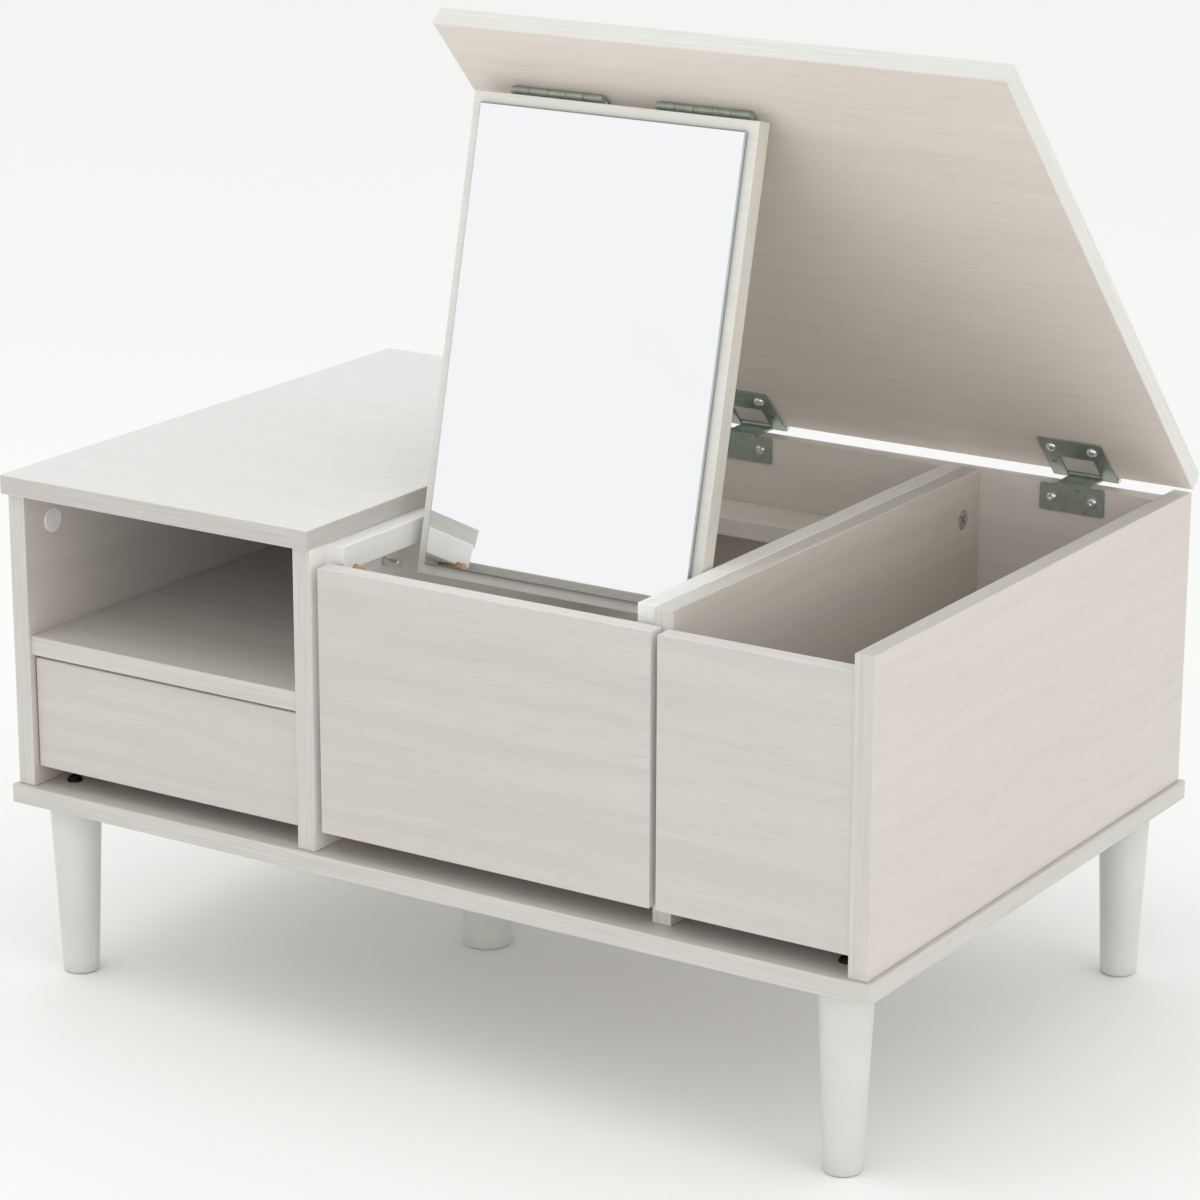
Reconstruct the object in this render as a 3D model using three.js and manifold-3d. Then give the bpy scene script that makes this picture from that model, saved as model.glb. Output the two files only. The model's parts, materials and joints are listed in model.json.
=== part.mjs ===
// Vanity table: a low cabinet on tapered legs with a left cubby and drawer, a wide middle
// drawer under a vanity well, a deep bin on the right, and a lid that carries a folding mirror.
// Millimetres, +Z up. The front faces -Y. The origin is on the floor under the table's middle.
import * as THREE from "three";
import { mergeVertices } from "three/addons/utils/BufferGeometryUtils.js";
import Module from "manifold-3d";

const wasm = await Module();
wasm.setup();

// Cabinet
const width = 750;
const depth = 500;
const board = 15;
const legHeight = 140;
const panelHeight = 230;
const baseTop = legHeight + board;
const panelTop = baseTop + panelHeight;
const sideInset = 4;
const easedEdge = 0.6;

// Dividers and fronts, measured from the left edge, the front edge and the floor
const leftDividerX = 270;
const rightDividerX = 566;
const backPanelY = 469;
const backPanelTop = 383;
const rightDividerY = 20;
const shelfZ = 260;
const wellFloorZ = 240;
const wellFloorThickness = 12;
const wellLedgeY = 421;
const wellLedgeTop = 327;
const frontBottom = 171;
const frontTop = 371.5;
const frontFaceY = 4.6;

// Legs
const legInsetX = 35;
const legInsetY = 32;
const legTopRadius = 20;
const legFootRadius = 14;
const centreLegX = 268;
const centreLegY = 251;
const boltHeadRadius = 6;
const boltHeadHeight = 4;
const boltShankRadius = 4;
const boltHoleRadius = 4.3;
const boltShankLength = 36;

// Lid, as it lies when closed
const lidLeft = 288;
const lidDepth = 484;
const lidUnderside = 385.3;
const lidBackY = 488.7;
const lidOpenAngle = 47;
const lidPivotY = 492.7;
const lidPivotZ = 386.5;
const lidHingeXs = [368.5, 660];

// Mirror
const mirrorLeft = 306.5;
const mirrorWidth = 240;
const mirrorHeight = 355;
const mirrorFromLidPivot = 422.5;
const mirrorAxisDrop = 4.6;
const mirrorFoldAngle = 56;
const mirrorEdgeToAxis = 3.3;
const mirrorBackOffset = -0.3;
const glassMargin = 8;
const glassThickness = 3.5;
const mirrorHingeXs = [368.5, 492];
const mirrorHingeLength = 78;

// Hinges
const leafThickness = 1.5;
const knuckleRadius = 3;
const pinRadius = 1.5;
const boreRadius = 1.58;
const rest = 0.3;

// Materials
const finish = (color, roughness, metalness = 0) =>
  new THREE.MeshStandardMaterial({ color, roughness, metalness });
const whiteBoard = finish(0xece9e6, 0.45);
const greigeBoard = finish(0xcdc8c1, 0.5);
const paintedWood = finish(0xdcdcd6, 0.4);
const rawWood = finish(0xbe8f6e, 0.7);
const stripWood = finish(0xd8c6a8, 0.75);
const drawerBoard = finish(0xdcd6cf, 0.55);
const hingeSteel = finish(0x868a82, 0.4, 0.9);
const pinSteel = finish(0xc9cbc8, 0.3, 1);
const blackSteel = finish(0x1c1c1d, 0.5, 0.6);
const camZinc = finish(0xb9bab7, 0.45, 0.8);
const capPlastic = finish(0xf1efec, 0.4);
const mirrorGlass = finish(0xe6ebee, 0.03, 1);

// A closed solid from any closed geometry
function solid(geometry) {
  const bare = geometry.index ? geometry.toNonIndexed() : geometry.clone();
  bare.deleteAttribute("normal");
  bare.deleteAttribute("uv");
  const merged = mergeVertices(bare, 1e-4);
  const corners = merged.attributes.position.array;
  const index = merged.index.array;
  const faces = [];
  for (let i = 0; i < index.length; i += 3) {
    const [a, b, c] = [index[i], index[i + 1], index[i + 2]];
    if (a !== b && b !== c && c !== a) {
      faces.push(a, b, c);
    }
  }
  return new wasm.Manifold(
    new wasm.Mesh({
      numProp: 3,
      vertProperties: new Float32Array(corners),
      triVerts: new Uint32Array(faces),
    }),
  );
}

// The geometry of a solid
function geometryOf(body) {
  const result = body.getMesh();
  const geometry = new THREE.BufferGeometry();
  geometry.setAttribute("position", new THREE.BufferAttribute(result.vertProperties, 3));
  geometry.setIndex(new THREE.BufferAttribute(result.triVerts, 1));
  geometry.computeVertexNormals();
  return geometry;
}

function rectangle(x0, x1, y0, y1) {
  const shape = new THREE.Shape();
  shape.moveTo(x0, y0);
  shape.lineTo(x1, y0);
  shape.lineTo(x1, y1);
  shape.lineTo(x0, y1);
  shape.closePath();
  return shape;
}

function roundedRectangle(x0, x1, y0, y1, radius) {
  const shape = new THREE.Shape();
  shape.moveTo(x0 + radius, y0);
  shape.lineTo(x1 - radius, y0);
  shape.absarc(x1 - radius, y0 + radius, radius, -Math.PI / 2, 0);
  shape.lineTo(x1, y1 - radius);
  shape.absarc(x1 - radius, y1 - radius, radius, 0, Math.PI / 2);
  shape.lineTo(x0 + radius, y1);
  shape.absarc(x0 + radius, y1 - radius, radius, Math.PI / 2, Math.PI);
  shape.lineTo(x0, y0 + radius);
  shape.absarc(x0 + radius, y0 + radius, radius, Math.PI, Math.PI * 1.5);
  return shape;
}

// A board with eased edges between two opposite corners
function boardSolid([x0, y0, z0], [x1, y1, z1], edge = easedEdge) {
  const bevel = {
    depth: z1 - z0 - 2 * edge,
    bevelEnabled: true,
    bevelThickness: edge,
    bevelSize: edge,
    bevelSegments: 1,
  };
  const outline = rectangle(x0 + edge, x1 - edge, y0 + edge, y1 - edge);
  const geometry = new THREE.ExtrudeGeometry(outline, bevel);
  geometry.translate(0, 0, z0 + edge);
  return solid(geometry);
}

function block([x0, y0, z0], [x1, y1, z1]) {
  const geometry = new THREE.BoxGeometry(x1 - x0, y1 - y0, z1 - z0);
  geometry.translate((x0 + x1) / 2, (y0 + y1) / 2, (z0 + z1) / 2);
  return solid(geometry);
}

// A round bar along X from x0 to x1
function barX(radius, x0, x1, y, z, sides = 16) {
  const geometry = new THREE.CylinderGeometry(radius, radius, x1 - x0, sides);
  geometry.rotateZ(-Math.PI / 2);
  geometry.translate((x0 + x1) / 2, y, z);
  return solid(geometry);
}

// A round bar along Y from y0 to y1
function barY(radius, y0, y1, x, z, sides = 16) {
  const geometry = new THREE.CylinderGeometry(radius, radius, y1 - y0, sides);
  geometry.translate(x, (y0 + y1) / 2, z);
  return solid(geometry);
}

// A round bar along Z from z0 to z1
function barZ(radius, z0, z1, x, y, sides = 16) {
  const geometry = new THREE.CylinderGeometry(radius, radius, z1 - z0, sides);
  geometry.rotateX(Math.PI / 2);
  geometry.translate(x, y, (z0 + z1) / 2);
  return solid(geometry);
}

// A turned piece standing along Z, from [radius, height] pairs that start and end on the axis
function turned(profile, sides = 40) {
  const points = profile.map(([radius, height]) => new THREE.Vector2(radius, height));
  const geometry = new THREE.LatheGeometry(points, sides);
  geometry.rotateX(Math.PI / 2);
  return geometry;
}

// A flat sheet in the XY plane, thickness upwards from z
function sheetXY(shape, z, thickness) {
  const settings = { depth: thickness, bevelEnabled: false, curveSegments: 2 };
  const geometry = new THREE.ExtrudeGeometry(shape, settings);
  geometry.translate(0, 0, z);
  return solid(geometry);
}

// A flat sheet in the XZ plane, thickness towards -Y from y
function sheetXZ(shape, y, thickness) {
  const settings = { depth: thickness, bevelEnabled: false, curveSegments: 2 };
  const geometry = new THREE.ExtrudeGeometry(shape, settings);
  geometry.rotateX(Math.PI / 2);
  geometry.translate(0, y, 0);
  return solid(geometry);
}

const table = new THREE.Group();
const cabinet = new THREE.Group();
cabinet.position.set(-width / 2, -depth / 2, 0);
table.add(cabinet);

const lid = new THREE.Group();
lid.position.set(0, lidPivotY, lidPivotZ);
lid.rotation.x = THREE.MathUtils.degToRad(-lidOpenAngle);
cabinet.add(lid);

const mirror = new THREE.Group();
mirror.position.set(0, -mirrorFromLidPivot, -mirrorAxisDrop);
mirror.rotation.x = THREE.MathUtils.degToRad(-mirrorFoldAngle);
lid.add(mirror);

function place(group, name, shape, material) {
  const geometry = shape.isBufferGeometry ? shape : geometryOf(shape);
  const mesh = new THREE.Mesh(geometry, material);
  mesh.name = name;
  group.add(mesh);
  return mesh;
}

// Cabinet boards
const sideBack = depth - sideInset;
const leftInner = sideInset + board;
const rightInner = width - sideInset - board;
const dividerInner = leftDividerX + board;
const binLeft = rightDividerX + board;

const slab = boardSolid([0, 0, legHeight], [width, depth, baseTop]);
const legCentres = [
  ["front_left", legInsetX, legInsetY],
  ["front_right", width - legInsetX, legInsetY],
  ["back_right", width - legInsetX, depth - legInsetY],
  ["back_left", legInsetX, depth - legInsetY],
];
let drilledSlab = slab;
for (const [, x, y] of legCentres) {
  drilledSlab = drilledSlab.subtract(barZ(boltHoleRadius, legHeight - 1, baseTop + 1, x, y));
}
place(cabinet, "base_slab", drilledSlab, greigeBoard);

const leftSide = boardSolid([sideInset, sideInset, baseTop], [leftInner, sideBack, panelTop]);
place(cabinet, "left_side_panel", leftSide, greigeBoard);
const rightSide = boardSolid([rightInner, sideInset, baseTop], [width - sideInset, sideBack, panelTop]);
place(cabinet, "right_side_panel", rightSide, greigeBoard);
const backOuter = backPanelY + board;
const back = boardSolid([leftInner, backPanelY, baseTop], [rightInner, backOuter, backPanelTop]);
place(cabinet, "back_panel", back, greigeBoard);

// Support pegs, rest pins and the cam lock sit in blind holes in the dividers
const pegY = 38;
const pegZ = 364.4;
const pegHoleRadius = 2.8;
const pinY = 95;
const pinZ = 355;
const socketDepth = 8;
const camY = 443;
const camZ = 350;
const camRadius = 7.5;
const camDepth = 12;

const leftDividerFace = dividerInner;
const leftDivider = boardSolid([leftDividerX, sideInset, baseTop], [dividerInner, backPanelY, panelTop])
  .subtract(barX(pegHoleRadius, leftDividerFace - socketDepth, leftDividerFace + 1, pegY, pegZ))
  .subtract(barX(pegHoleRadius, leftDividerFace - socketDepth, leftDividerFace + 1, pinY, pinZ));
place(cabinet, "left_divider", leftDivider, greigeBoard);

const rightDivider = boardSolid([rightDividerX, rightDividerY, baseTop], [binLeft, backPanelY, panelTop])
  .subtract(barX(pegHoleRadius, rightDividerX - 1, rightDividerX + socketDepth - 2, pegY, pegZ))
  .subtract(barX(pegHoleRadius, rightDividerX - 1, rightDividerX + socketDepth - 2, pinY, pinZ))
  .subtract(barX(camRadius + rest, binLeft - camDepth, binLeft + 1, camY, camZ, 32));
place(cabinet, "right_divider", rightDivider, greigeBoard);

const leftTop = boardSolid([0, 0, panelTop], [dividerInner + 1.5, depth, panelTop + board]);
place(cabinet, "left_top_board", leftTop, whiteBoard);
const shelf = boardSolid([leftInner, 6, shelfZ], [leftDividerX, backPanelY, shelfZ + board]);
place(cabinet, "cubby_shelf", shelf, greigeBoard);

// Cleats under the lid, on the well side of each divider
const railWidth = 16;
const railHeight = 19;
const pegNotchRadius = 4.5;
const railStarts = [
  ["left_lid_rail", dividerInner],
  ["right_lid_rail", rightDividerX - railWidth],
];
for (const [name, x] of railStarts) {
  const rail = boardSolid([x, 24, panelTop - railHeight], [x + railWidth, backPanelY, panelTop])
    .subtract(barX(pegNotchRadius, x - 1, x + railWidth + 1, pegY, pegZ));
  place(cabinet, name, rail, whiteBoard);
}

const wellFloor = boardSolid(
  [dividerInner, 25, wellFloorZ],
  [rightDividerX, backPanelY, wellFloorZ + wellFloorThickness],
);
place(cabinet, "well_floor", wellFloor, greigeBoard);
const ledge = boardSolid(
  [dividerInner, wellLedgeY, wellLedgeTop - board],
  [rightDividerX, backPanelY, wellLedgeTop],
);
place(cabinet, "well_ledge", ledge, greigeBoard);

const binFloor = boardSolid([binLeft, rightDividerY, frontBottom], [rightInner, backPanelY, frontBottom + 12]);
place(cabinet, "bin_floor", binFloor, greigeBoard);
const rightFront = boardSolid([577.6, rightDividerY - board, frontBottom], [rightInner, rightDividerY, frontTop]);
place(cabinet, "right_front_panel", rightFront, greigeBoard);

// Tapered legs, each with a bolt through the base slab
const legBore = boltShankLength - board + 4;
for (const [corner, x, y] of legCentres) {
  const leg = turned([
    [0, 0],
    [legFootRadius - 1.5, 0],
    [legFootRadius, 1.5],
    [legTopRadius, legHeight],
    [boltHoleRadius, legHeight],
    [boltHoleRadius, legHeight - legBore],
    [0, legHeight - legBore],
  ]);
  place(cabinet, `leg_${corner}`, leg, paintedWood).position.set(x, y, 0);
}
const straightLeg = turned([
  [0, 0],
  [legTopRadius - 1.5, 0],
  [legTopRadius, 1.5],
  [legTopRadius, legHeight],
  [0, legHeight],
]);
place(cabinet, "centre_leg", straightLeg, paintedWood).position.set(centreLegX, centreLegY, 0);

const hexRadius = 2.9;
for (const [corner, x, y] of legCentres) {
  // The back legs have headless studs, because the back panel stands over them
  if (corner.startsWith("back")) {
    const stud = turned(
      [
        [0, legHeight - legBore],
        [boltShankRadius, legHeight - legBore],
        [boltShankRadius, baseTop - 1.5],
        [boltShankRadius - 1, baseTop - 0.5],
        [0, baseTop - 0.5],
      ],
      24,
    );
    place(cabinet, `leg_bolt_${corner}`, stud, blackSteel).position.set(x, y, 0);
    continue;
  }
  const bolt = turned(
    [
      [0, baseTop - boltShankLength],
      [boltShankRadius, baseTop - boltShankLength],
      [boltShankRadius, baseTop],
      [boltHeadRadius, baseTop],
      [boltHeadRadius, baseTop + 1],
      [boltHeadRadius - 1.2, baseTop + 3],
      [boltHeadRadius - 3, baseTop + boltHeadHeight],
      [0, baseTop + boltHeadHeight],
    ],
    24,
  );
  const socket = barZ(hexRadius, baseTop + 1.2, baseTop + boltHeadHeight + 1, 0, 0, 6);
  place(cabinet, `leg_bolt_${corner}`, solid(bolt).subtract(socket), blackSteel).position.set(x, y, 0);
}

// Fluted beech pegs with a narrow neck, as a mirrored pair
const pegLength = 14;
const pegNeck = 8;
const fluteCount = 16;
function fluted(outer, inner, length) {
  const shape = new THREE.Shape();
  for (let i = 0; i < fluteCount * 2; i += 1) {
    const radius = i % 2 ? inner : outer;
    const angle = (i * Math.PI) / fluteCount;
    const [x, y] = [radius * Math.cos(angle), radius * Math.sin(angle)];
    if (i === 0) {
      shape.moveTo(x, y);
    } else {
      shape.lineTo(x, y);
    }
  }
  shape.closePath();
  const settings = { depth: length - 1.6, bevelEnabled: true, bevelThickness: 0.8 };
  Object.assign(settings, { bevelSize: 0.8, bevelOffset: -0.8, bevelSegments: 1 });
  const geometry = new THREE.ExtrudeGeometry(shape, settings);
  geometry.translate(0, 0, 0.8);
  geometry.rotateY(Math.PI / 2);
  return geometry;
}
const pegSides = [
  ["left", dividerInner, 1, socketDepth],
  ["right", rightDividerX, -1, socketDepth - 2],
];
for (const [side, face, direction, hole] of pegSides) {
  const head = solid(fluted(4, 3.6, pegLength).translate(pegNeck, 0, 0));
  const peg = geometryOf(head.add(barX(2.5, -hole, pegNeck + 2, 0, 0)));
  const pin = turned([
    [0, -hole],
    [2.5, -hole],
    [2.5, pegLength - 0.6],
    [1.9, pegLength],
    [0, pegLength],
  ], 16);
  pin.rotateY(Math.PI / 2);
  if (direction < 0) {
    peg.rotateZ(Math.PI);
    pin.rotateZ(Math.PI);
  }
  place(cabinet, `${side}_peg`, peg, rawWood).position.set(face, pegY, pegZ);
  place(cabinet, `${side}_rest_pin`, pin, pinSteel).position.set(face, pinY, pinZ);
}

// Cam lock with a cross recess in the bin side of the right divider, and a cam cover cap
const crossLong = 5;
const crossShort = 0.9;
const crossCut = (halfY, halfZ) =>
  block([binLeft - 2.2, -halfY, -halfZ], [binLeft + 1, halfY, halfZ])
    .rotate([45, 0, 0])
    .translate([0, camY, camZ]);
const cam = barX(camRadius, binLeft - camDepth, binLeft - 0.2, camY, camZ, 32)
  .subtract(crossCut(crossLong, crossShort))
  .subtract(crossCut(crossShort, crossLong));
place(cabinet, "cam_lock", cam, camZinc);
const cap = turned([
  [0, 0],
  [9.5, 0],
  [9.5, 0.5],
  [9.1, 0.9],
  [0, 0.9],
]);
cap.rotateY(Math.PI / 2);
place(cabinet, "cam_cover_cap", cap, capPlastic).position.set(leftInner, 36, 359.5);

// Wooden runner strips under the drawer sides
const runnerTop = 172;
const runnerXs = [
  ["left_drawer_runner_left", leftInner],
  ["left_drawer_runner_right", leftDividerX - board],
  ["middle_drawer_runner_left", dividerInner],
  ["middle_drawer_runner_right", rightDividerX - board],
];
for (const [name, x] of runnerXs) {
  place(cabinet, name, boardSolid([x, 46, baseTop], [x + board, 455, runnerTop]), stripWood);
}

// A drawer: a front with a box of two sides, a back and a bottom behind it
function addDrawer(label, front, box) {
  const wall = 12;
  const floorThickness = 5;
  const boxFront = front.high[1];
  place(cabinet, `${label}_front`, boardSolid(front.low, front.high), greigeBoard);
  const left = boardSolid([box.x0, boxFront, box.z0], [box.x0 + wall, box.back, box.z1]);
  place(cabinet, `${label}_left_side`, left, drawerBoard);
  const right = boardSolid([box.x1 - wall, boxFront, box.z0], [box.x1, box.back, box.z1]);
  place(cabinet, `${label}_right_side`, right, drawerBoard);
  const end = boardSolid([box.x0 + wall, box.back - wall, box.z0], [box.x1 - wall, box.back, box.z1]);
  place(cabinet, `${label}_back`, end, drawerBoard);
  const floor = block(
    [box.x0 + wall, boxFront, box.z0 + 2],
    [box.x1 - wall, box.back - wall, box.z0 + 2 + floorThickness],
  );
  place(cabinet, `${label}_bottom`, floor, drawerBoard);
}
addDrawer(
  "left_drawer",
  { low: [21, 9, 170.5], high: [268, 24, 257.5] },
  { x0: 22, x1: 267, z0: runnerTop + rest, z1: 245, back: 450 },
);
addDrawer(
  "middle_drawer",
  { low: [291.5, frontFaceY, frontBottom + 0.5], high: [572.5, frontFaceY + board, frontTop + 1] },
  { x0: 288, x1: 563, z0: runnerTop + rest, z1: 234, back: 450 },
);

// Lid and its two hinges to the back panel, in the closed lid's frame about its pivot
const lidBase = lidUnderside - lidPivotZ;
const lidBack = lidBackY - lidPivotY;
const lidBoard = boardSolid([lidLeft, lidBack - lidDepth, lidBase], [width, lidBack, lidBase + board]);
place(lid, "lid_board", lidBoard, greigeBoard);

const lidHingeHalf = 27;
const centreKnuckleHalf = 14;
const windowHalf = 14.5;
const plateHoleRadius = 2;
lidHingeXs.forEach((x, i) => {
  const side = i ? "right" : "left";
  // Lower leaf: a plate on the back panel's inner face, a neck over its top and a centre knuckle
  const plateFace = backPanelY - lidPivotY;
  const plateTop = -3.2;
  const plate = sheetXZ(roundedRectangle(-lidHingeHalf, lidHingeHalf, -24.5, plateTop, 2), plateFace, leafThickness);
  const tongueShape = new THREE.Shape();
  tongueShape.moveTo(-12, plateFace - leafThickness);
  tongueShape.lineTo(12, plateFace - leafThickness);
  tongueShape.lineTo(centreKnuckleHalf, -9);
  tongueShape.lineTo(centreKnuckleHalf, 0);
  tongueShape.lineTo(-centreKnuckleHalf, 0);
  tongueShape.lineTo(-centreKnuckleHalf, -9);
  tongueShape.closePath();
  const bend = block([-12, plateFace - leafThickness, -6], [12, plateFace, -2]);
  let lower = plate
    .add(bend)
    .add(sheetXY(tongueShape, -3.2, leafThickness))
    .add(barX(knuckleRadius, -centreKnuckleHalf, centreKnuckleHalf, 0, 0))
    .subtract(barX(boreRadius, -30, 30, 0, 0));
  for (const holeX of [-17, 17]) {
    lower = lower.subtract(barY(plateHoleRadius, plateFace - 5, plateFace + 5, holeX, -14));
  }
  place(cabinet, `lid_hinge_${side}_lower_leaf`, lower, hingeSteel).position.set(x, lidPivotY, lidPivotZ);

  // Upper leaf: a U plate under the lid whose arms carry the outer knuckles
  const leafTop = lidBase - rest;
  const leafZ = leafTop - leafThickness + 0.2;
  const uPlate = sheetXY(
    roundedRectangle(-lidHingeHalf, lidHingeHalf, lidBack - 44.5, 0, 2),
    leafZ,
    leafTop - leafZ,
  );
  let upper = uPlate
    .add(block([-lidHingeHalf, -8, leafZ], [lidHingeHalf, 0, leafTop]))
    .add(barX(knuckleRadius, -lidHingeHalf, lidHingeHalf, 0, 0))
    .subtract(block([-windowHalf, lidBack - 22, -5], [windowHalf, 5, 5]))
    .subtract(barX(boreRadius, -30, 30, 0, 0));
  const holes = [
    [-17, lidBack - 34.5],
    [17, lidBack - 34.5],
    [-20.5, lidBack - 14],
    [20.5, lidBack - 14],
  ];
  for (const [holeX, holeY] of holes) {
    upper = upper.subtract(barZ(plateHoleRadius, -6, 2, holeX, holeY, 16));
  }
  place(lid, `lid_hinge_${side}_upper_leaf`, upper, hingeSteel).position.set(x, 0, 0);

  // Pin with a domed head at each end
  const pinEnd = lidHingeHalf + 0.4;
  const pin = turned(
    [
      [0, -pinEnd - 1.4],
      [1.4, -pinEnd - 1.1],
      [2.2, -pinEnd],
      [pinRadius, -pinEnd],
      [pinRadius, pinEnd],
      [2.2, pinEnd],
      [1.4, pinEnd + 1.1],
      [0, pinEnd + 1.4],
    ],
    16,
  );
  pin.rotateY(Math.PI / 2);
  place(lid, `lid_hinge_${side}_pin`, pin, pinSteel).position.set(x, 0, 0);
});

// Mirror board and glass, in the folded mirror's frame about its own axis
const mirrorRight = mirrorLeft + mirrorWidth;
const mirrorFront = mirrorBackOffset - board;
const mirrorBoard = boardSolid(
  [mirrorLeft, mirrorEdgeToAxis, mirrorFront],
  [mirrorRight, mirrorEdgeToAxis + mirrorHeight, mirrorBackOffset],
);
place(mirror, "mirror_board", mirrorBoard, greigeBoard);
const glass = boardSolid(
  [mirrorLeft + glassMargin, mirrorEdgeToAxis + glassMargin, mirrorFront - rest - glassThickness],
  [mirrorRight - glassMargin, mirrorEdgeToAxis + mirrorHeight - glassMargin, mirrorFront - rest],
  1,
);
place(mirror, "mirror_glass", glass, mirrorGlass);

// Two five-knuckle butt hinges, with both leaves between the lid and the mirror board's back
const knuckleCount = 5;
const knuckleStep = mirrorHingeLength / knuckleCount;
const knuckleGap = 0.4;
const lidLeafTop = mirrorAxisDrop + lidBase - rest;
const mirrorLeafBack = mirrorBackOffset + rest;
const mirrorLeafThickness = 1.3;
const hingeLeafLength = 21;
const leafNotch = knuckleRadius + 0.4;
const notchBelow = -leafNotch - 1;
mirrorHingeXs.forEach((x, i) => {
  const side = i ? "right" : "left";
  const start = -mirrorHingeLength / 2;
  const end = mirrorHingeLength / 2;
  const isLidKnuckle = (n) => n % 2 === 0;
  const bar = barX(knuckleRadius, start, end, 0, 0);
  const bore = barX(boreRadius, start - 2, end + 2, 0, 0);

  const lidSheet = sheetXY(
    roundedRectangle(start, end, -2.5, hingeLeafLength, 2.5),
    lidLeafTop - 1.3,
    1.3,
  );
  let lidLeaf = lidSheet.subtract(block([start - 1, -5, -5], [end + 1, 0, 5])).add(bar);

  const mirrorSheet = sheetXY(
    roundedRectangle(start, end, -2.5, hingeLeafLength, 2.5),
    mirrorLeafBack,
    mirrorLeafThickness,
  );
  let mirrorLeaf = mirrorSheet.subtract(block([start - 1, -5, -5], [end + 1, 0, 5])).add(bar);

  for (let n = 0; n < knuckleCount; n += 1) {
    const low = start + n * knuckleStep - (n ? knuckleGap / 2 : 2);
    const high = start + (n + 1) * knuckleStep + (n < knuckleCount - 1 ? knuckleGap / 2 : 2);
    const cutBox = block([low, notchBelow, notchBelow], [high, leafNotch, leafNotch]);
    if (isLidKnuckle(n)) {
      mirrorLeaf = mirrorLeaf.subtract(cutBox);
    } else {
      lidLeaf = lidLeaf.subtract(cutBox);
    }
  }
  lidLeaf = lidLeaf.subtract(bore);
  mirrorLeaf = mirrorLeaf.subtract(bore);
  for (const holeX of [-27, 0, 27]) {
    lidLeaf = lidLeaf.subtract(barZ(plateHoleRadius, -6, 6, holeX, 14, 16));
    mirrorLeaf = mirrorLeaf.subtract(barZ(plateHoleRadius, -6, 6, holeX, 14, 16));
  }
  const lidLeafMesh = place(lid, `mirror_hinge_${side}_lid_leaf`, lidLeaf, hingeSteel);
  lidLeafMesh.position.set(x, -mirrorFromLidPivot, -mirrorAxisDrop);
  place(mirror, `mirror_hinge_${side}_mirror_leaf`, mirrorLeaf, hingeSteel).position.set(x, 0, 0);

  const pin = turned(
    [
      [0, start + 0.3],
      [pinRadius, start + 0.3],
      [pinRadius, end - 0.3],
      [0, end - 0.3],
    ],
    16,
  );
  pin.rotateY(Math.PI / 2);
  const pinMesh = place(lid, `mirror_hinge_${side}_pin`, pin, pinSteel);
  pinMesh.position.set(x, -mirrorFromLidPivot, -mirrorAxisDrop);
});

export default table;
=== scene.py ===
"""Looks for the vanity table with mirror: laminated boards, painted legs, zinc plated hinges and
a silvered mirror, on a plain pale floor. Lengths are in metres, in the frame of the CAD model."""
import json
import math

import bmesh
import bpy
from mathutils import Matrix, Vector


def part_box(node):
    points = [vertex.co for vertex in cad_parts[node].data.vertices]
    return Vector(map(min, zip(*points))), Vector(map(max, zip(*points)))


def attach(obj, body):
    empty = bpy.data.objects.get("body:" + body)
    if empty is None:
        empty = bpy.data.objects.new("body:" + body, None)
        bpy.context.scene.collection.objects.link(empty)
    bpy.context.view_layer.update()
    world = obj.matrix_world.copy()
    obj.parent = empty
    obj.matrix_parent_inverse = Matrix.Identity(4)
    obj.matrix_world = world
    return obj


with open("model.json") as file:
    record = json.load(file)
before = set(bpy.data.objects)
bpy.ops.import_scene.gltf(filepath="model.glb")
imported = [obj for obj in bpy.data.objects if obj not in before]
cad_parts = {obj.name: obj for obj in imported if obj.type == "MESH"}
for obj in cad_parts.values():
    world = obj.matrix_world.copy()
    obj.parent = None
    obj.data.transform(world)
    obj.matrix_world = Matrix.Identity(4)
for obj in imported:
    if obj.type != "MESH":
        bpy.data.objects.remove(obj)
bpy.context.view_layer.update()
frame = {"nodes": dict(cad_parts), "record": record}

NODES = frame["nodes"]
JOINTS = {joint["name"]: joint for joint in frame["record"]["behaviour"]["joints"]}
LID_AXIS = Vector(JOINTS["lid_hinge"]["pos_m"])

# how far the lid and the mirror are turned in the modelled position
LID_OPEN = math.radians(47)
MIRROR_FOLD = math.radians(56)
MIRROR_LEAN = LID_OPEN + MIRROR_FOLD - math.pi / 2

X, Y, Z = (1, 0, 0), (0, 1, 0), (0, 0, 1)
LID_NORMAL = (0, math.sin(LID_OPEN), math.cos(LID_OPEN))
MIRROR_NORMAL = (0, -math.cos(MIRROR_LEAN), math.sin(MIRROR_LEAN))

# camera
CAM_PLACE = (1.5655, -2.4387, 1.1718)
CAM_YAW = math.radians(-32.712)
CAM_PITCH = math.radians(16.730)
CAM_ROLL = math.radians(0.157)
CAM_LENS = 119.74
CAM_SENSOR = 36
CAM_CLIP_END = 50

# board finish
WELD_DISTANCE = 0.000005
EASED_WIDTH = 0.00025
EASED_ANGLE = math.radians(30)

# screws in the lid hinges, as distances from the hinge's middle and from its axis
SCREW_RADIUS = 0.0043
SCREW_HEIGHT = 0.0027
SCREW_SPREAD = 0.017
LOWER_SCREW_DROP = 0.014
UPPER_SCREW_REACH = 0.0385
UPPER_LEAF_UNDER = 0.0028

# studio
FLOOR_SIZE = 60
FLOOR_DROP = 0.0003
WORLD_STRENGTH = 0.95
WARM_WHITE = (1.0, 0.985, 0.965)
WARMER_WHITE = (1.0, 0.985, 0.96)

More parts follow.
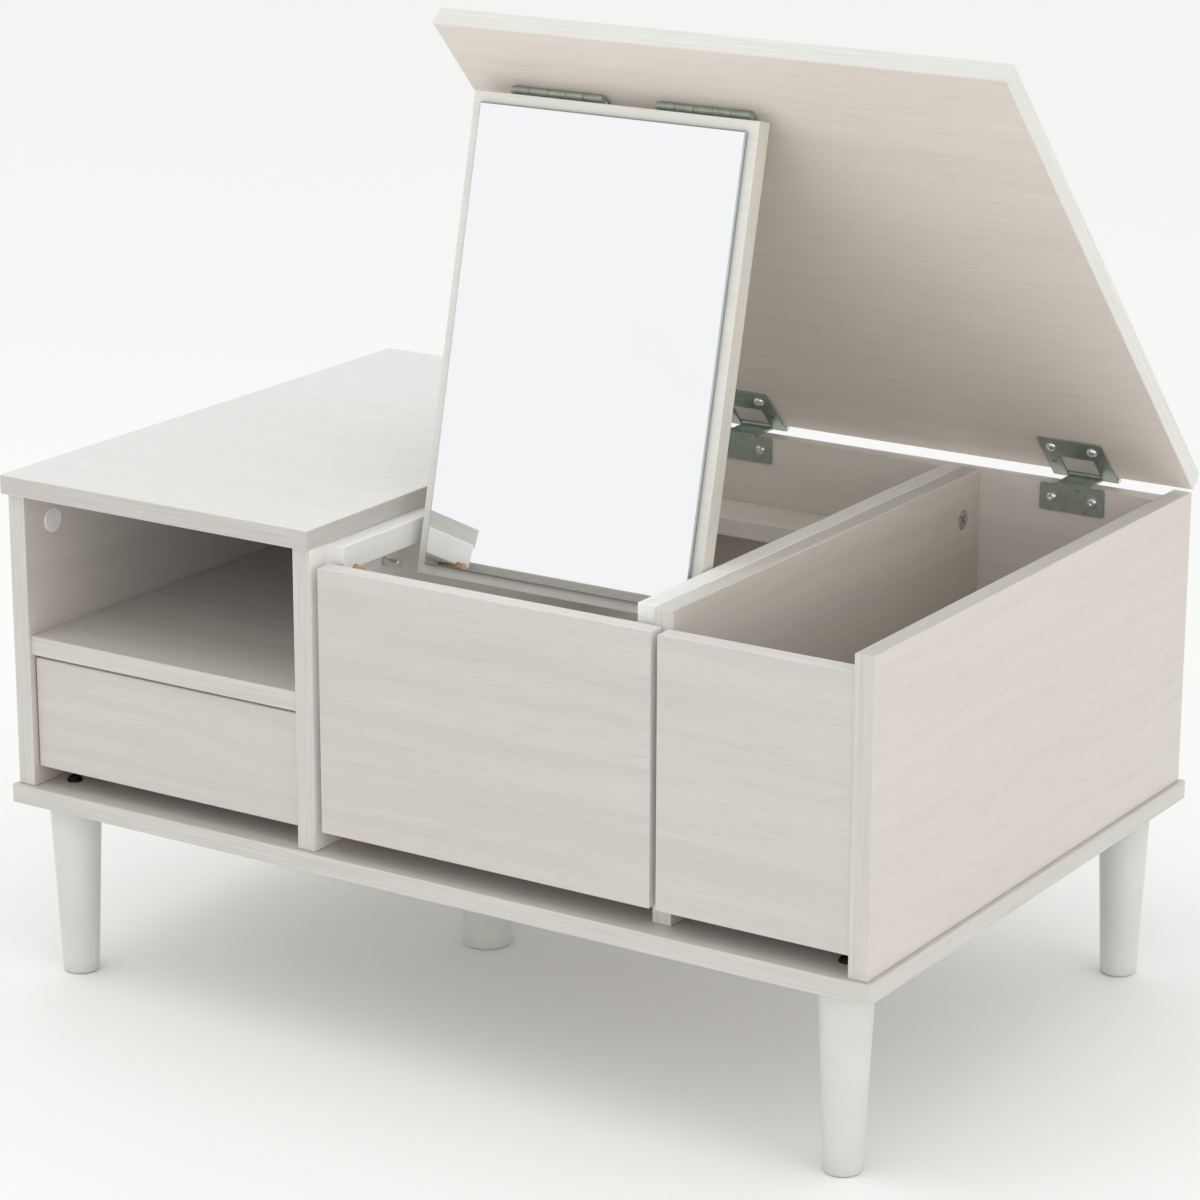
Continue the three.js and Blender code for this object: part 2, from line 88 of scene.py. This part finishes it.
# ---------------------------------------------------------------- camera
cam_data = bpy.data.cameras.new("photo_camera")
cam_data.lens = CAM_LENS
cam_data.sensor_width = CAM_SENSOR
cam_data.clip_end = CAM_CLIP_END
camera = bpy.data.objects.new("photo_camera", cam_data)
bpy.context.scene.collection.objects.link(camera)
forward = Vector((
    math.sin(CAM_YAW) * math.cos(CAM_PITCH),
    math.cos(CAM_YAW) * math.cos(CAM_PITCH),
    -math.sin(CAM_PITCH),
))
turn = forward.to_track_quat("-Z", "Y").to_matrix() @ Matrix.Rotation(CAM_ROLL, 3, "Z")
camera.matrix_world = Matrix.Translation(CAM_PLACE) @ turn.to_4x4()
bpy.context.scene.camera = camera


# ---------------------------------------------------------------- node helpers
class Graph:
    """A material with short calls for the nodes that it needs."""

    def __init__(self, name):
        self.material = bpy.data.materials.new(name)
        self.material.use_nodes = True
        self.tree = self.material.node_tree
        self.shader = self.tree.nodes["Principled BSDF"]
        coords = self.add("ShaderNodeTexCoord")
        self.place = coords.outputs["Object"]
        self.normal = coords.outputs["Normal"]

    def add(self, kind, **settings):
        node = self.tree.nodes.new(kind)
        for key, value in settings.items():
            setattr(node, key, value)
        return node

    def put(self, socket, value):
        """Link a socket to another one, or give it a constant."""
        if isinstance(value, bpy.types.NodeSocket):
            self.tree.links.new(value, socket)
        else:
            socket.default_value = value

    def math(self, operation, a, b=0.0):
        node = self.add("ShaderNodeMath", operation=operation)
        self.put(node.inputs[0], a)
        self.put(node.inputs[1], b)
        return node.outputs[0]

    def dot(self, vector, axis):
        node = self.add("ShaderNodeVectorMath", operation="DOT_PRODUCT")
        self.put(node.inputs[0], vector)
        node.inputs[1].default_value = axis
        return node.outputs["Value"]

    def facing(self, normal):
        """1 where the surface faces along `normal` or against it, 0 where it is square to it."""
        return self.math("ABSOLUTE", self.dot(self.normal, normal))

    def stretched(self, *lengths):
        """A vector of three (value, scale) pairs."""
        node = self.add("ShaderNodeCombineXYZ")
        for socket, (value, scale) in zip(node.inputs, lengths):
            self.put(socket, value if scale == 1 else self.math("MULTIPLY", value, scale))
        return node.outputs[0]

    def noise(self, vector, scale=1.0, detail=2.0, roughness=0.5, distortion=0.0):
        node = self.add("ShaderNodeTexNoise", noise_dimensions="3D")
        self.put(node.inputs["Vector"], vector)
        node.inputs["Scale"].default_value = scale
        node.inputs["Detail"].default_value = detail
        node.inputs["Roughness"].default_value = roughness
        node.inputs["Distortion"].default_value = distortion
        return node.outputs["Fac"]

    def remap(self, value, low, high, new_low=0.0, new_high=1.0, smooth=False):
        node = self.add("ShaderNodeMapRange", clamp=True)
        if smooth:
            node.interpolation_type = "SMOOTHSTEP"
        for socket, entry in zip(node.inputs, (value, low, high, new_low, new_high)):
            self.put(socket, entry)
        return node.outputs[0]

    def mix(self, factor, a, b, blend="MIX"):
        node = self.add("ShaderNodeMix", data_type="RGBA", blend_type=blend)
        self.put(node.inputs[0], factor)
        self.put(node.inputs[6], a)
        self.put(node.inputs[7], b)
        return node.outputs[2]

    def blend_sum(self, a, weight_a, b, weight_b):
        return self.math("ADD", self.math("MULTIPLY", a, weight_a), self.math("MULTIPLY", b, weight_b))

    def bump(self, height, distance, strength=1.0):
        node = self.add("ShaderNodeBump")
        node.inputs["Strength"].default_value = strength
        node.inputs["Distance"].default_value = distance
        self.put(node.inputs["Height"], height)
        self.put(self.shader.inputs["Normal"], node.outputs[0])

    def base(self, colour):
        self.put(self.shader.inputs["Base Color"], colour)

    def rough(self, value):
        self.put(self.shader.inputs["Roughness"], value)

    def metallic(self, value):
        self.shader.inputs["Metallic"].default_value = value


def rgb(red, green, blue):
    """A linear colour from 8-bit sRGB values."""
    def linear(v):
        v /= 255
        return v / 12.92 if v <= 0.04045 else ((v + 0.055) / 1.055) ** 2.4
    return (linear(red), linear(green), linear(blue), 1.0)


def darker(tint, red, green, blue):
    """An 8-bit tint taken down by three steps, as a linear colour."""
    return rgb(tint[0] - red, tint[1] - green, tint[2] - blue)


# ---------------------------------------------------------------- materials
def laminate(name, grain, face, tint=(203, 199, 193), band=(207, 205, 199), seed=0.0, contrast=0.72,
             upper=None):
    """Wood-print laminate: flowing straight grain along `grain` on the two wide faces (normal
    `face`), and a lighter, finely streaked edge band on the narrow faces. `upper` is another
    tint for the wide face on the side that `face` points to."""
    g = Graph(name)
    along, normal = Vector(grain).normalized(), Vector(face).normalized()
    u = g.dot(g.place, along)
    v = g.math("ADD", g.dot(g.place, normal.cross(along)), seed)
    w = g.dot(g.place, normal)

    # slow wander of the grain lines, then cathedral bands and fine fibres that follow it
    wander = g.noise(g.stretched((u, 2.2), (v, 5), (w, 1)))
    bent = g.math("ADD", v, g.math("MULTIPLY", g.math("SUBTRACT", wander, 0.5), 0.055))
    broad = g.noise(g.stretched((u, 1.3), (bent, 9), (w, 1)), roughness=0.55)
    bands = g.noise(g.stretched((u, 3), (bent, 75), (w, 1)), detail=3.0, roughness=0.6, distortion=0.25)
    fibre = g.noise(g.stretched((u, 22), (bent, 640), (w, 1)), roughness=0.6)
    dashes = g.noise(g.stretched((u, 45), (bent, 420), (w, 1)), detail=1.0)
    pores = g.remap(dashes, 0.60, 0.74, smooth=True)

    def shade(red, green, blue):
        return rgb(*(min(t + contrast * d, 250) for t, d in zip(tint, (red, green, blue))))

    colour = g.mix(g.remap(broad, 0.35, 0.65), shade(-5, -6, -7), shade(0, 0, 0))
    colour = g.mix(g.remap(wander, 0.45, 0.8, 0.0, 0.6), colour, shade(-5, -2, -2))
    colour = g.mix(g.remap(bands, 0.42, 0.66, 0.0, 0.7), colour, shade(5, 5, 4))
    colour = g.mix(g.remap(bands, 0.28, 0.46, 0.6, 0.0), colour, shade(-9, -10, -11))
    colour = g.mix(g.remap(fibre, 0.35, 0.7, 0.0, 0.34), colour, shade(-13, -14, -15))
    colour = g.mix(g.math("MULTIPLY", pores, 0.26), colour, shade(-27, -29, -31))

    if upper:
        ratio = [a / b for a, b in zip(rgb(*upper)[:3], rgb(*tint)[:3])]
        is_upper = g.remap(g.dot(g.normal, normal), 0.2, 0.4)
        colour = g.mix(is_upper, colour, g.mix(1.0, colour, (*ratio, 1.0), "MULTIPLY"))

    edge_line = g.noise(g.stretched((u, 14), (v, 14), (w, 900)), detail=3.0, roughness=0.6)
    edge = g.mix(g.remap(edge_line, 0.35, 0.68), darker(band, 13, 12, 13), rgb(*band))

    is_face = g.remap(g.facing(normal), 0.55, 0.75)
    g.base(g.mix(is_face, edge, colour))
    mottled = g.remap(g.noise(g.place, 90.0, roughness=0.6), 0.3, 0.7, 0.40, 0.50)
    g.rough(g.math("ADD", mottled, g.math("MULTIPLY", pores, 0.12)))
    relief = g.math("SUBTRACT", g.math("MULTIPLY", fibre, 0.5), g.math("MULTIPLY", pores, 0.8))
    g.bump(g.mix(is_face, edge_line, relief), 0.00006, 0.6)
    g.shader.inputs["Specular IOR Level"].default_value = 0.42
    return g.material


def painted(name, tint=(216, 217, 212)):
    """Satin paint on turned wood: faint roller mottling, orange peel, and a greyer, darker colour over
    the bottom 12 mm.
    """
    g = Graph(name)
    up = g.dot(g.place, Z)
    cloud = g.noise(g.place, 14.0, 3.0, 0.55)
    peel = g.noise(g.place, 900.0)
    rings = g.noise(g.stretched((0.0, 1), (0.0, 1), (up, 260)))
    colour = g.mix(g.remap(cloud, 0.35, 0.7), darker(tint, 10, 9, 10), rgb(*tint))
    # greyer and darker over the bottom 12 mm of the leg
    foot = g.remap(up, 0.0, 0.012, 0.35, 0.0, smooth=True)
    g.base(g.mix(foot, colour, rgb(186, 184, 176)))
    g.rough(g.remap(cloud, 0.3, 0.7, 0.30, 0.42))
    g.bump(g.blend_sum(peel, 0.5, rings, 0.5), 0.00007, 0.5)
    return g.material


def zinc(name, tint=(176, 186, 178), rough=(0.26, 0.40), metallic=0.72):
    """Zinc plated pressed steel: greenish grey, cloudy, with fine rolling marks along X."""
    g = Graph(name)
    cloud = g.noise(g.place, 170.0, 4.0, 0.6, 0.4)
    flecks = g.noise(g.place, 900.0, roughness=0.6)
    rolled = g.stretched((g.dot(g.place, X), 30), (g.dot(g.place, Y), 1400), (g.dot(g.place, Z), 1400))
    marks = g.noise(rolled, roughness=0.6)
    warm = rgb(tint[0] + 12, tint[1] + 8, tint[2] - 14)
    colour = g.mix(g.remap(cloud, 0.3, 0.7), darker(tint, 26, 22, 24), rgb(*tint))
    g.base(g.mix(g.remap(flecks, 0.55, 0.75, 0.0, 0.35), colour, warm))
    g.metallic(metallic)
    g.rough(g.remap(cloud, 0.3, 0.7, *rough))
    g.bump(g.blend_sum(marks, 0.6, flecks, 0.4), 0.00003, 0.5)
    return g.material


def beech(name):
    """Raw beech dowel: warm, with short dark flecks along the grain."""
    g = Graph(name)
    grain = g.stretched((g.dot(g.place, X), 110), (g.dot(g.place, Y), 1500), (g.dot(g.place, Z), 1500))
    fibre = g.noise(grain, detail=3.0, roughness=0.6)
    g.base(g.mix(g.remap(fibre, 0.3, 0.7), rgb(178, 132, 102), rgb(226, 190, 160)))
    g.rough(g.remap(fibre, 0.3, 0.7, 0.72, 0.58))
    g.bump(fibre, 0.00015, 0.7)
    return g.material


def strip(name):
    """Planed softwood strip: pale, with growth lines along its length."""
    g = Graph(name)
    growth = g.stretched((g.dot(g.place, X), 230), (g.dot(g.place, Y), 5), (g.dot(g.place, Z), 230))
    lines = g.noise(growth, detail=3.0, roughness=0.6, distortion=0.3)
    g.base(g.mix(g.remap(lines, 0.35, 0.65), rgb(188, 160, 122), rgb(222, 203, 170)))
    g.rough(g.remap(lines, 0.3, 0.7, 0.62, 0.74))
    g.bump(lines, 0.0002, 0.6)
    return g.material


def black_coat(name):
    """Black oxide on a bolt head, rubbed brighter here and there."""
    g = Graph(name)
    cloud = g.noise(g.place, 260.0, 4.0, 0.65)
    g.base(g.mix(g.remap(cloud, 0.5, 0.8), rgb(20, 20, 21), rgb(58, 57, 55)))
    g.metallic(0.6)
    g.rough(g.remap(cloud, 0.3, 0.7, 0.32, 0.55))
    g.bump(g.noise(g.place, 1800.0), 0.00005, 0.5)
    return g.material


def plastic(name, tint=(240, 238, 234)):
    """Moulded cover cap: fine satin texture with a faint clouding."""
    g = Graph(name)
    cloud = g.noise(g.place, 120.0, 3.0)
    g.base(g.mix(g.remap(cloud, 0.3, 0.7), darker(tint, 12, 12, 13), rgb(*tint)))
    g.rough(g.remap(cloud, 0.3, 0.7, 0.34, 0.44))
    g.bump(g.noise(g.place, 2600.0), 0.00003, 0.6)
    return g.material


def silvered(name):
    """Mirror glass: bright silvering, and a pale green-grey ground edge."""
    g = Graph(name)
    is_face = g.remap(g.facing(MIRROR_NORMAL), 0.93, 0.985)
    haze = g.noise(g.place, 9.0, 3.0, 0.55)
    edge = g.mix(g.noise(g.place, 1200.0), rgb(128, 138, 136), rgb(196, 204, 202))
    face = g.mix(g.remap(haze, 0.3, 0.7), rgb(246, 248, 249), rgb(250, 251, 252))
    g.base(g.mix(is_face, edge, face))
    g.metallic(1.0)
    g.rough(g.math("ADD", g.remap(is_face, 0.0, 1.0, 0.30, 0.012), g.math("MULTIPLY", haze, 0.008)))
    return g.material


# ---------------------------------------------------------------- materials on the CAD nodes
DRAWER_TINT = (221, 217, 211)
DRAWER_FLOOR_TINT = (226, 222, 216)
DRAWER_BAND = (212, 207, 199)

LAMINATES = {
    "laminate_fronts": (
        # painted highlight: this lighter edge band stands in for top light on the fronts' top edges,
        # and it lightens their side and bottom edges too
        dict(grain=X, face=Y, band=(226, 224, 220)),
        ["middle_drawer_front", "left_drawer_front", "right_front_panel"],
    ),
    "laminate_back": (
        dict(grain=X, face=Y, tint=(219, 212, 205), band=(226, 222, 216)),
        ["back_panel"],
    ),
    "laminate_sides": (
        dict(grain=Y, face=X, tint=(208, 202, 196), contrast=0.6),
        ["left_side_panel", "right_side_panel"],
    ),
    "laminate_divider": (
        dict(grain=Y, face=X, seed=0.31, tint=(213, 206, 198), band=(212, 210, 204)),
        ["right_divider"],
    ),
    "laminate_well_side": (
        # painted light: the left divider, which lines the well, has a far whiter tint than the right
        # divider, standing in for the light on its face
        dict(grain=Y, face=X, seed=0.53, tint=(240, 238, 234)),
        ["left_divider"],
    ),
    "laminate_flats": (
        dict(grain=X, face=Z),
        ["base_slab", "cubby_shelf", "bin_floor"],
    ),
    "laminate_well": (
        # painted light: the well's floor and ledge have a whiter tint than the other flat boards,
        # standing in for light in the well
        dict(grain=X, face=Z, seed=0.23, tint=(232, 228, 222), band=(230, 227, 222)),
        ["well_floor", "well_ledge"],
    ),
    "laminate_top": (
        dict(grain=X, face=Z, tint=(226, 225, 223), band=(200, 197, 192), contrast=0.4),
        ["left_top_board"],
    ),
    "laminate_rails": (
        dict(grain=Y, face=X, tint=(243, 243, 240), band=(242, 242, 238), contrast=0.7),
        ["left_lid_rail", "right_lid_rail"],
    ),
    "laminate_lid": (
        # painted light: the lid's underside takes the tint, lighter and warmer than the upper tint of
        # its top face, standing in for light that reaches the underside
        dict(grain=X, face=LID_NORMAL, seed=0.17, tint=(228, 220, 211), band=(224, 223, 218),
             upper=(222, 221, 219)),
        ["lid_board"],
    ),
    "laminate_mirror_board": (
        dict(grain=X, face=MIRROR_NORMAL, seed=0.43, tint=(222, 221, 216), band=(218, 214, 205)),
        ["mirror_board"],
    ),
    "laminate_drawer_x": (
        dict(grain=X, face=Y, tint=DRAWER_TINT, band=DRAWER_BAND),
        ["left_drawer_back", "middle_drawer_back"],
    ),
    "laminate_drawer_y": (
        dict(grain=Y, face=X, tint=DRAWER_TINT, band=DRAWER_BAND),
        ["left_drawer_left_side", "left_drawer_right_side",
         "middle_drawer_left_side", "middle_drawer_right_side"],
    ),
    "laminate_drawer_z": (
        dict(grain=Y, face=Z, tint=DRAWER_FLOOR_TINT, band=DRAWER_BAND),
        ["left_drawer_bottom", "middle_drawer_bottom"],
    ),
}
assigned = {}
for label, (settings, names) in LAMINATES.items():
    assigned.update(dict.fromkeys(names, laminate(label, **settings)))
board_nodes = set(assigned)

# the first word that a node's name holds decides its material
bright_zinc = zinc("bright_zinc", tint=(232, 235, 232), rough=(0.14, 0.24), metallic=0.85)
materials_by_word = [
    ("leg_bolt", black_coat("bolt_black")),
    ("leg", painted("leg_paint")),
    ("_peg", beech("raw_beech")),
    ("_runner_", strip("strip_wood")),
    ("_pin", bright_zinc),
    ("hinge", zinc("hinge_zinc")),
    ("cam_lock", zinc("cam_zinc", tint=(206, 205, 200), rough=(0.38, 0.52))),
    ("cam_cover_cap", plastic("cap_plastic")),
    ("mirror_glass", silvered("silvered_glass")),
]
for name, node in NODES.items():
    if name not in assigned:
        assigned[name] = next(made for word, made in materials_by_word if word in name)
    node.data.materials.clear()
    node.data.materials.append(assigned[name])
    weld = node.modifiers.new("weld", "WELD")
    weld.merge_threshold = WELD_DISTANCE
    if name in board_nodes:
        soften = node.modifiers.new("eased_edges", "BEVEL")
        soften.width = EASED_WIDTH
        soften.segments = 2
        soften.limit_method = "ANGLE"
        soften.angle_limit = EASED_ANGLE
        soften.harden_normals = False


# ---------------------------------------------------------------- screws in the lid hinges
def pan_screw(name, twist):
    """A pan-head screw with a cross recess; the head rises along +Z from the origin."""
    shape = bmesh.new()
    segments, rings = 48, 16
    arm, half_arm, depth = 0.60 * SCREW_RADIUS, 0.15 * SCREW_RADIUS, 0.55 * SCREW_HEIGHT
    loops = []
    for ring in range(1, rings + 1):
        r = SCREW_RADIUS * ring / rings
        dome = SCREW_HEIGHT * (1 - (r / SCREW_RADIUS) ** 3.2) ** 0.6 if ring < rings else 0.0
        loop = []
        for k in range(segments):
            angle = 2 * math.pi * k / segments
            x, y = r * math.cos(angle), r * math.sin(angle)
            inside = max(abs(x), abs(y)) < arm and min(abs(x), abs(y)) < half_arm
            z = dome - depth * (1 - 0.6 * r / arm) if inside else dome
            loop.append(shape.verts.new((x, y, z)))
        loops.append(loop)
    top = shape.verts.new((0, 0, SCREW_HEIGHT - depth))
    under = shape.verts.new((0, 0, 0))
    for k in range(segments):
        n = (k + 1) % segments
        shape.faces.new((top, loops[0][k], loops[0][n]))
        shape.faces.new((under, loops[-1][n], loops[-1][k]))
        for inner, outer in zip(loops, loops[1:]):
            shape.faces.new((inner[k], outer[k], outer[n], inner[n]))
    bmesh.ops.rotate(shape, verts=shape.verts, cent=(0, 0, 0), matrix=Matrix.Rotation(twist, 3, "Z"))
    bmesh.ops.recalc_face_normals(shape, faces=shape.faces)
    mesh = bpy.data.meshes.new(name)
    shape.to_mesh(mesh)
    shape.free()
    mesh.materials.append(bright_zinc)
    piece = bpy.data.objects.new(name, mesh)
    bpy.context.scene.collection.objects.link(piece)
    return piece


def seat(piece, place, outward, body):
    """Set a screw down at `place` with its head towards `outward`, riding a body."""
    turned = Vector(outward).to_track_quat("Z", "Y").to_matrix().to_4x4()
    piece.data.transform(Matrix.Translation(place) @ turned)
    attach(piece, body)


lid_turn = Matrix.Rotation(-LID_OPEN, 3, "X")
lid_outward = lid_turn @ Vector((0, 0, -1))
axis_point = Vector((0, LID_AXIS.y, LID_AXIS.z))
upper_spot = axis_point + lid_turn @ Vector((0, -UPPER_SCREW_REACH, -UPPER_LEAF_UNDER))
for side_index, side in enumerate(("left", "right")):
    low, high = (Vector(corner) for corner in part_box(f"lid_hinge_{side}_lower_leaf"))
    middle = (low.x + high.x) / 2
    for k, offset in enumerate((-SCREW_SPREAD, SCREW_SPREAD)):
        x = middle + offset
        twist = 0.5 + 1.3 * k + 0.7 * side_index
        lower = pan_screw(f"hinge_screw_{side}_lower_{k}", twist)
        seat(lower, (x, low.y, LID_AXIS.z - LOWER_SCREW_DROP), (0, -1, 0), "cabinet")
        upper = pan_screw(f"hinge_screw_{side}_upper_{k}", twist + 0.6)
        seat(upper, (x, upper_spot.y, upper_spot.z), lid_outward, "lid")

# ---------------------------------------------------------------- floor and light
bpy.ops.mesh.primitive_plane_add(size=FLOOR_SIZE, location=(0, 0, -FLOOR_DROP))
floor = bpy.context.object
floor.name = "studio_floor"
ground = Graph("studio_floor")
ground.base(ground.mix(ground.noise(ground.place, 0.7), rgb(247, 247, 246), rgb(250, 250, 249)))
ground.rough(0.75)
floor.data.materials.append(ground.material)

world = bpy.data.worlds.new("studio")
bpy.context.scene.world = world
world.use_nodes = True
background = world.node_tree.nodes["Background"]
background.inputs["Color"].default_value = (1.0, 1.0, 1.0, 1.0)
background.inputs["Strength"].default_value = WORLD_STRENGTH


def area(name, location, target, size, power, colour=(1, 1, 1)):
    """A soft rectangular lamp at `location`, aimed at `target`."""
    data = bpy.data.lights.new(name, "AREA")
    data.shape = "RECTANGLE"
    data.size, data.size_y = size
    data.energy = power
    data.color = colour
    lamp = bpy.data.objects.new(name, data)
    lamp.location = location
    direction = Vector(target) - Vector(location)
    lamp.rotation_euler = direction.to_track_quat("-Z", "Y").to_euler()
    bpy.context.scene.collection.objects.link(lamp)


area("key_above", (-0.8, -0.9, 3.0), (0, 0, 0.3), (1.8, 1.6), 10)
area("fill_right", (2.9, -0.5, 0.9), (0.3, 0, 0.25), (1.8, 1.2), 10, WARM_WHITE)
area("fill_low", (0.9, -3.4, 0.75), (0.1, 0, 0.45), (2.0, 1.2), 8, WARMER_WHITE)

bpy.context.scene.view_settings.view_transform = "Standard"
